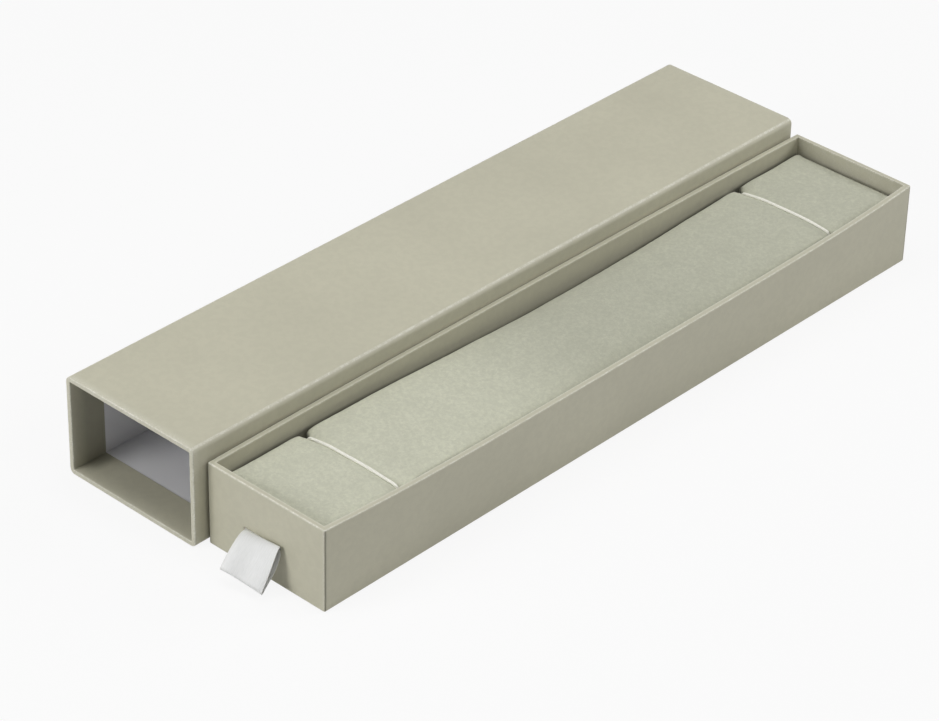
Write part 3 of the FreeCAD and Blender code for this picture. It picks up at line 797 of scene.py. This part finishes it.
def drawer_paper():
    """The drawer's covering paper, with worn folds that carry painted highlights, painted light inside its
    back wall, and a painted shade line along each side flap's edge.
    """
    planes = [
        (0, np.concatenate([drawer_low[0] + SIDE_CUTS, drawer_high[0] - SIDE_CUTS])),
        (1, np.concatenate([drawer_low[1] + END_CUTS, drawer_high[1] - END_CUTS])),
        (2, drawer_high[2] - RIM_CUTS),
        (2, LINE_CUTS),
        (1, np.concatenate([row + CORD_CUTS for row in cord_rows])),
    ]
    piece, points = bent_copy("drawer_paper", "drawer_wrap", planes)
    x, y, z = points.T
    to_side = np.minimum(x - drawer_low[0], drawer_high[0] - x)
    to_end = np.minimum(y - drawer_low[1], drawer_high[1] - y)
    to_top = drawer_high[2] - z
    out = np.minimum(to_side, to_end)
    wall = np.where(to_side < to_end, SIDE_WALL, END_WALL)
    rim = fade(np.hypot(np.maximum(out - RIM_FLAT, 0), to_top), reach=0.38)
    inner = fade(np.hypot(out - wall, to_top), WEAR_AND_HIGHLIGHT_REACH)
    corner = fade(np.hypot(to_side - paper, to_end), WEAR_AND_HIGHLIGHT_REACH)
    front = fade(y - drawer_low[1], reach=6)
    # painted light: the back wall's inside made paler all over
    back = BACK_WALL_PAINTED_LIGHT * (np.abs(drawer_high[1] - y - wall) < 2 * SAME_FACE) * (to_end < to_side)
    # wear with painted highlights along the rims and the upright corners
    wear_and_light_amount = (RIM_WEAR_AND_HIGHLIGHT + FRONT_RIM_WEAR_AND_HIGHLIGHT * front) * rim
    wear_and_light_amount = wear_and_light_amount + INNER_RIM_WEAR_AND_HIGHLIGHT * inner + CORNER_WEAR_AND_HIGHLIGHT * corner + back
    paint(piece, "wear_and_painted_light", np.clip(wear_and_light_amount, 0, 1))
    # painted shade: on each side flap's step, in the slit, and along the pad's edge and beside the cords
    # inside the long walls
    step = fade(np.abs(to_end - FLAP_STEP), STEP_WIDTH) * (to_side < STEP_WIDTH)
    seam = STEP_SHADE * step * climb(to_top, start=0, over=1.2)
    slit = fade(np.abs(z - RIBBON_LEVEL), reach=0.5) * (to_side > SLIT_MARGIN) * (y < drawer_mid[1])
    slit = slit * (to_end > SLIT_DEPTHS[0]) * (to_end < SLIT_DEPTHS[1])
    inside = (to_side > INSIDE_FROM) * (to_side < to_end) * (z > INSIDE_LEVEL)
    level = PAD_LINE - PAD_LINE_DROP * waist_share(y)
    line = PAD_LINE_SHADE * fade(z - level, reach=1.0) * fade(level - z, reach=2.0)
    beside_cord = fade(np.abs(z - level + CORD_SHADE_DROP), reach=2.2)
    cords = PAD_LINE_SHADE * rows_near(y, reach=2.4) * beside_cord
    paint(piece, "painted_shade", np.clip(seam + SLIT_SHADE * slit + np.maximum(line, cords) * inside, 0, 1))


def drawer_walls():
    bent_copy("drawer_left_wall", "drawer_left_board")
    bent_copy("drawer_right_wall", "drawer_right_board")
    for corner in ("front_left", "front_right", "back_left", "back_right"):
        bent_copy(corner + "_tape", corner + "_corner_stay")


# ---- Pad's cloth
def pad_block():
    """A plain closed block a little smaller than the pad, with soft edges."""
    low, high = cover_low[2], cover_high[2] + PAD_PLUMP - PAD_EDGE_DROP
    levels = [(low + up, inset) for up, inset in BLOCK_FOOT] + [((low + high) / 2, 0.0)]
    levels += [(high - down, inset) for down, inset in BLOCK_TOP]
    rings = []
    for z, inset in levels:
        shrink = PAD_START + inset
        flat = rounded_outline(pad_half - shrink, cover_low[1] + shrink, cover_high[1] - shrink,
                               BLOCK_CORNER, per_arc=4)
        rings.append(np.column_stack([flat[:, 0] + pad_mid[0], flat[:, 1], np.full(len(flat), z)]))
    return loft(rings)


def along_pad(y):
    return (y - cover_low[1]) / (cover_high[1] - cover_low[1])


def waist_share(y):
    """How far the pad's long sides are drawn in at y: 1 a little behind the middle, 0 near the ends."""
    return np.cos(np.clip((along_pad(y) - WAIST_AT) / WAIST_REACH, -1, 1) * math.pi / 2) ** 2


def crown_pad(points):
    """Raises the middle of the top, and lowers and draws in the long sides halfway along."""
    x, y, z = (points - np.array([pad_mid[0], 0, 0])).T
    across = np.clip(np.abs(x) / pad_half, 0, 1)
    v = along_pad(y)
    middle = waist_share(y)
    high = climb(z, cover_low[2], cover_high[2] - cover_low[2])
    ends = 1 - np.abs(2 * np.clip(v, 0, 1) - 1) ** CROWN_POWER
    rise = PAD_EDGE_DROP * (1 - across ** 2.0) * ends
    drop = PAD_SIDE_DROP * middle * (MIDDLE_SHARE + SIDE_SHARE * across ** 3)
    draw = -np.sign(x) * PAD_WAIST * middle * across ** 2 * high
    block_top = cover_high[2] + PAD_PLUMP - PAD_EDGE_DROP
    corner = fade(np.hypot(pad_half - PAD_START - np.abs(x), block_top - z), reach=1.6)
    draw += np.sign(x) * SQUARE_UP * corner
    rise = rise + SQUARE_UP * corner
    move = np.column_stack([draw, np.zeros(len(points)), (rise - drop) * high ** 2])
    return points + move


def rows_near(y, reach):
    """How near a point is to a cord's row: 1 on it, 0 beyond the reach."""
    return np.max([fade(np.abs(y - row), reach) for row in cord_rows], axis=0)


def crease_pad(points):
    """Presses the cords' creases into the top and the notches into the sides."""
    x, y, z = points.T
    side = np.sign(x - pad_mid[0])
    inward = pad_half - np.abs(x - pad_mid[0])
    high = climb(z - cover_low[2], start=2.0, over=6.0)
    top = climb(z - cover_high[2], start=-4.5, over=2.0)
    dip = np.zeros(len(points))
    bite = np.zeros(len(points))
    for row in cord_rows:
        d = y - row
        crease = CREASE_DEPTH * np.exp(-(d / CREASE_WIDTH) ** 2)
        dip += crease + HOLLOW_DEPTH * np.exp(-(d / HOLLOW_WIDTH) ** 2)
        bite += fade(np.abs(d), NOTCH_HALF) ** NOTCH_ROUND
    arch = np.where(side < 0, ARCH_LEFT, ARCH_RIGHT) * fade(inward, reach=12) ** ARCH_POWER
    sink = dip * (CREASE_SHARE + arch) * top + NOTCH_DROP * bite * fade(inward, reach=3.0) * top
    pull = -side * NOTCH_REACH * bite * np.clip(NOTCH_FULL - inward / NOTCH_FADE, 0, 1) * high
    return points + np.column_stack([pull, np.zeros(len(points)), -sink])


def pad_shade(points):
    """How dark the painted shade on the cloth is: deep in the notches, a line round its top edge, and down
    its sides.
    """
    x, y, z = (points - np.array([pad_mid[0], 0, 0])).T
    inward = np.minimum(pad_half - PAD_WAIST * waist_share(y) - np.abs(x),
                        np.minimum(y - cover_low[1], cover_high[1] - y))
    rows = rows_near(y, reach=2.1)
    notch = climb(NOTCH_SHADE_REACH * rows - inward, start=0, over=0.7) * (rows > 0)
    edge = climb(EDGE_SHADE_WIDTH - inward, start=0, over=0.7)
    under = climb(cover_high[2] - SIDE_SHADE_FROM - z, start=0, over=2.0)
    return np.clip(np.maximum(notch, np.maximum(EDGE_SHADE * edge, SIDE_SHADE * under)), 0, 1)


def applied(thing):
    """The thing's mesh with its modifiers applied; the thing itself is removed."""
    graph = bpy.context.evaluated_depsgraph_get()
    mesh = bpy.data.meshes.new_from_object(thing.evaluated_get(graph))
    bpy.data.objects.remove(thing)
    return mesh


def mesh_points(mesh):
    """The simulated mesh's points, in millimetres at the pad's own size."""
    flat = np.empty(len(mesh.vertices) * 3)
    mesh.vertices.foreach_get("co", flat)
    return flat.reshape(-1, 3) / MM / SIM_SCALE


def place_points(mesh, points):
    mesh.vertices.foreach_set("co", (points * MM * SIM_SCALE).ravel())


def even_mesh(points, faces, size):
    """The closed shape again, in even faces of about the size."""
    mesh = bpy.data.meshes.new("block")
    mesh.from_pydata([tuple(p) for p in points * MM * SIM_SCALE], [], faces)
    thing = put_in("block", mesh)
    voxels = thing.modifiers.new("voxels", "REMESH")
    voxels.mode = "VOXEL"
    voxels.voxel_size = size * MM * SIM_SCALE
    return applied(thing)


def swell(mesh, held):
    """Fills the mesh like foam under cloth; held says how firmly each point stays put."""
    thing = put_in("swelling", mesh)
    group = thing.vertex_groups.new(name="held")
    for i, share in enumerate(held):
        if share > 0:
            group.add([i], float(share), "REPLACE")
    cloth = thing.modifiers.new("cloth", "CLOTH")
    cloth.settings.vertex_group_mass = group.name
    cloth.settings.use_pressure = True
    cloth.settings.uniform_pressure_force = PAD_PRESSURE
    cloth.settings.effector_weights.gravity = 0
    cloth.point_cache.frame_start = 1
    cloth.point_cache.frame_end = PAD_FRAMES
    for step in range(1, PAD_FRAMES + 1):
        bpy.context.scene.frame_set(step)
    mesh = applied(thing)
    bpy.context.scene.frame_set(1)
    return mesh


def capped(before, after, most):
    """The moved points, none further than the cap from where it was."""
    move = after - before
    far = np.linalg.norm(move, axis=1)
    return before + move * np.minimum(1, most / np.maximum(far, TINY))[:, None]


def smoother(mesh):
    thing = put_in("finer", mesh)
    finer = thing.modifiers.new("finer", "SUBSURF")
    finer.levels = 1
    return applied(thing)


def pad():
    """The velvet pad: foam under cloth, swollen between its cords, with creases and notches."""
    points, faces = pad_block()
    mesh = even_mesh(points, faces, PAD_VOXEL)
    before = crown_pad(mesh_points(mesh))
    place_points(mesh, before)
    low = climb(cover_low[2] + HELD_FOOT - before[:, 2], start=0, over=2.0)
    held = np.maximum(low, rows_near(before[:, 1], reach=2.4))
    mesh = swell(mesh, held)
    place_points(mesh, capped(before, mesh_points(mesh), PAD_CAP))
    mesh = smoother(mesh)
    points = mesh_points(mesh)
    dark = pad_shade(points)
    points = crease_pad(points)
    points = points + np.column_stack([np.zeros((len(points), 2)), soft_waves(points)])
    points = np.clip(points, cover_low - PAD_ROOM, cover_high + [PAD_ROOM, PAD_ROOM, PAD_PLUMP + PAD_ROOM])
    faces = [tuple(p.vertices) for p in mesh.polygons]
    piece = new_piece("velvet_pad", points, faces, "velvet", "pad", "pad_cover", "pad_foam")
    # painted shade in the notches, round the top edge and down the sides
    paint(piece, "painted_shade", dark)
    # painted shade along the pad: none at the front, most behind it, less towards the back
    painted_length_shade = climb(points[:, 1], start=-38, over=34) - LESS_PAINTED_SHADE * climb(points[:, 1], start=30, over=50)
    paint(piece, "painted_length_shade", painted_length_shade)
    return points, faces


def soft_waves(points):
    """Slight unevenness of the foam and the cloth over it."""
    top = climb(points[:, 2] - cover_high[2], start=-4.0, over=3.0)
    wide = ripple(points, amount=0.16, size=16.0, seed=3)
    fine = ripple(points, amount=0.05, size=5.0, seed=4)
    return (wide + fine) * top


# ---- Smooth lines
CUT_PASSES = 3


def cut_corners(starts, ends):
    """Two points on each straight line, a quarter of the way from its start and from its end."""
    return np.stack([0.75 * starts + 0.25 * ends, 0.25 * starts + 0.75 * ends], axis=1).reshape(-1, 2)


def how_far(path):
    """How far along the path each of its points is."""
    return np.concatenate([[0], np.cumsum(np.linalg.norm(np.diff(path, axis=0), axis=1))])


def points_at(path, far, want):
    """The path's points at the distances wanted, given how far along its own points are."""
    return np.column_stack([np.interp(want, far, path[:, i]) for i in (0, 1)])


def rounded_path(corners):
    """A closed path of (x, z) pairs with its corners cut smooth."""
    path = np.array(corners)
    for _ in range(CUT_PASSES):
        path = cut_corners(path, np.roll(path, -1, axis=0))
    return path


def even_path(path, step):
    """The closed path again, in points a step apart, and how far along each is."""
    closed = np.vstack([path, path[:1]])
    far = how_far(closed)
    want = np.linspace(0, far[-1], int(far[-1] / step) + 1)[:-1]
    return points_at(closed, far, want), want


def smooth_line(corners, count):
    """A smooth line of evenly spaced points through the corners' polygon, and its length."""
    path = np.array(corners, float)
    for _ in range(CUT_PASSES):
        path = np.vstack([path[:1], cut_corners(path[:-1], path[1:]), path[-1:]])
    far = how_far(path)
    return points_at(path, far, np.linspace(0, far[-1], count)), far[-1]


# ---- Elastic cords
CORD_SAMPLES = 48  # places across the pad where the cloth's height is taken
CORD_SHOULDER = 0.5  # the samples stop this far short of the cord's sides
CORD_IN_NOTCH = 0.1  # from a notch's bottom to the cord's middle
CORD_BEND = 1.2  # how much of each lower corner is cut
CORD_EDGE = 1.0  # it goes straight down from this far under the last sample
CORD_FOOT = 0.15  # from the pad's underside up to the cord
CORD_STEP = 0.22
CORD_SIDES = 20
BRAID_YARNS = 5
BRAID_PITCH = 2.6
BRAID_RELIEF = 0.07
BRAID_MEAN = 0.95
BRAID_GAP = 0.5  # under this height of the weave is painted shade
ABOVE_PAD = 5


def elastic_cord(name, row, cloth, node):
    """A closed loop of braided elastic round the pad, lying on the cloth."""
    reach = pad_half - NOTCH_REACH + CORD_IN_NOTCH
    corners = []
    for x in np.linspace(-reach + CORD_SHOULDER, reach - CORD_SHOULDER, CORD_SAMPLES):
        start = Vector(((pad_mid[0] + x) * MM, row * MM, (cover_high[2] + ABOVE_PAD) * MM))
        hit = cloth.ray_cast(start, Vector((0, 0, -1)))[0]
        corners.append((pad_mid[0] + x, hit.z / MM + CORD_RADIUS - CORD_SINK))
    foot = cover_low[2] + CORD_RADIUS + CORD_FOOT
    edge = corners[-1][1] - CORD_EDGE
    for level in (edge, (edge + foot) / 2, foot + CORD_BEND):
        corners.append((pad_mid[0] + reach, level))
    for x in (reach - CORD_BEND, 0.0, -reach + CORD_BEND):
        corners.append((pad_mid[0] + x, foot))
    for level in (foot + CORD_BEND, (edge + foot) / 2, edge):
        corners.append((pad_mid[0] - reach, level))
    path, far = even_path(rounded_path(corners), CORD_STEP)
    ahead = np.roll(path, -1, axis=0) - np.roll(path, 1, axis=0)
    ahead /= np.linalg.norm(ahead, axis=1)[:, None]
    out = np.column_stack([-ahead[:, 1], ahead[:, 0]])
    around = np.linspace(0, 2 * math.pi, CORD_SIDES, endpoint=False)
    turn = 2 * math.pi / BRAID_PITCH
    weave = np.maximum(np.cos(BRAID_YARNS * around[None, :] + turn * far[:, None]),
                       np.cos(BRAID_YARNS * around[None, :] - turn * far[:, None]))
    radius = CORD_RADIUS * (BRAID_MEAN + BRAID_RELIEF * weave)
    x = path[:, :1] + out[:, :1] * np.sin(around) * radius
    z = path[:, 1:] + out[:, 1:] * np.sin(around) * radius
    y = row + np.cos(around) * radius
    points = np.stack([x, y, z], axis=-1).reshape(-1, 3)
    faces = [(a, d, c, b) for a, b, c, d in quads(len(path), CORD_SIDES, len(path), CORD_SIDES)]
    piece = new_piece(name, points, faces, "elastic_cord", "pad", node)
    paint(piece, "painted_shade", np.clip(BRAID_GAP - weave, 0, 1).ravel())


# ---- Ribbon
RIBBON_HALF = 6.0
RIBBON_MIDDLE = -1.2  # from the middle of the drawer's front
RIBBON_LEVEL = 11.0
RIBBON_LEAN = 0.9  # its loop leans this far to the right
LEAN_FROM = 0.7  # all of it this far out
RIBBON_LAYER = 0.2
LAYER_GAP = 0.04  # between two layers that lie on each other
LINE_POINTS = 150
RIBBON_COLUMNS = 15
LOOP_REACH = 9  # the ribbon widens and curls more and more, up to this far out
WIDENING = 0.15
CURL = 0.16
CURLS = 3  # half waves across
CURL_FORWARD = 0.6
SELVEDGE_SHARP = 14  # the selvedge is a fourteenth of the ribbon's half width
# How far in front of the drawer and how far over the slit the ribbon is, along its left edge and
# along its right edge, from one glued end through the slit, round the loop and back.
TAIL_OVER = [(-1.72, -8.5), (-1.72, -4.0), (-1.70, -0.9), (-1.35, 0.02), (-0.7, 0.1), (-0.1, 0.1)]
TAIL_UNDER = [(-0.1, -0.1), (-0.7, -0.1), (-1.3, -0.2), (-1.51, -1.0), (-1.51, -4.5), (-1.51, -8.6)]
LEFT_LOOP = [(0.3, 0.3), (1.2, 0.5), (2.4, 0.1), (3.5, -0.7), (4.8, -1.9), (6.1, -3.2), (7.6, -4.9),
             (8.7, -6.2), (9.05, -6.9), (8.6, -7.2), (7.5, -6.2), (6.1, -4.6), (4.5, -2.8), (2.9, -1.3),
             (1.4, -0.4), (0.5, -0.14)]
RIGHT_LOOP = [(0.3, 0.6), (0.5, 1.5), (1.1, 1.5), (2.0, 0.2), (3.2, -2.1), (4.6, -4.6), (6.0, -6.9),
              (7.1, -8.5), (7.25, -9.15), (6.75, -9.1), (5.8, -8.0), (4.4, -6.6), (2.8, -5.0), (1.6, -3.2),
              (0.85, -1.4), (0.45, -0.1)]


def ribbon():
    """One length of satin: glued end, slit, loop, slit and glued end."""
    left, left_length = smooth_line(TAIL_OVER + LEFT_LOOP + TAIL_UNDER, LINE_POINTS)
    right, right_length = smooth_line(TAIL_OVER + RIGHT_LOOP + TAIL_UNDER, LINE_POINTS)
    across = np.linspace(0, 1, RIBBON_COLUMNS)
    share = across[None, :, None]
    line = left[:, None, :] * (1 - share) + right[:, None, :] * share
    out = np.clip(line[..., 0] / LOOP_REACH, 0, 1)
    curl = CURL * np.sin(across * CURLS * math.pi)[None, :] * out
    widen = RIBBON_HALF + WIDENING * out
    lean = RIBBON_LEAN * np.clip(line[..., 0] / LEAN_FROM, 0, 1)
    x = drawer_mid[0] + RIBBON_MIDDLE + (2 * across[None, :] - 1) * widen + lean
    y = drawer_low[1] - line[..., 0] - curl * CURL_FORWARD
    z = RIBBON_LEVEL + line[..., 1] + curl
    points = np.stack([x, y, z], axis=-1).reshape(-1, 3)
    faces = quads(LINE_POINTS, RIBBON_COLUMNS, LINE_POINTS - 1, RIBBON_COLUMNS - 1)
    piece = new_piece("satin_ribbon", points, faces, "satin_ribbon", None, "ribbon_pull", "ribbon_tails")
    from_middle = np.abs(np.tile(2 * across - 1, LINE_POINTS))
    paint(piece, "selvedge", np.clip(from_middle * SELVEDGE_SHARP - (SELVEDGE_SHARP - 1), 0, 1))
    thick = piece.modifiers.new("thickness", "SOLIDIFY")
    thick.thickness = (RIBBON_LAYER - LAYER_GAP) * MM
    thick.offset = 0
    mesh = applied(piece)
    mesh.name = "satin_ribbon"
    shade(mesh, angle=60)
    piece = put_in("satin_ribbon", mesh)
    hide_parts("ribbon_pull", "ribbon_tails")
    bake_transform(piece)


make_camera()
make_floor()
make_light()
for node in nodes:
    dress(node)
sleeve_paper()
sleeve_back_panel()
drawer_paper()
drawer_walls()
pad_points, pad_faces = pad()
cloth = BVHTree.FromPolygons([Vector(p) * MM for p in pad_points], pad_faces)
elastic_cord("front_elastic", front_cord_y, cloth, "front_cord")
elastic_cord("back_elastic", back_cord_y, cloth, "back_cord")
ribbon()
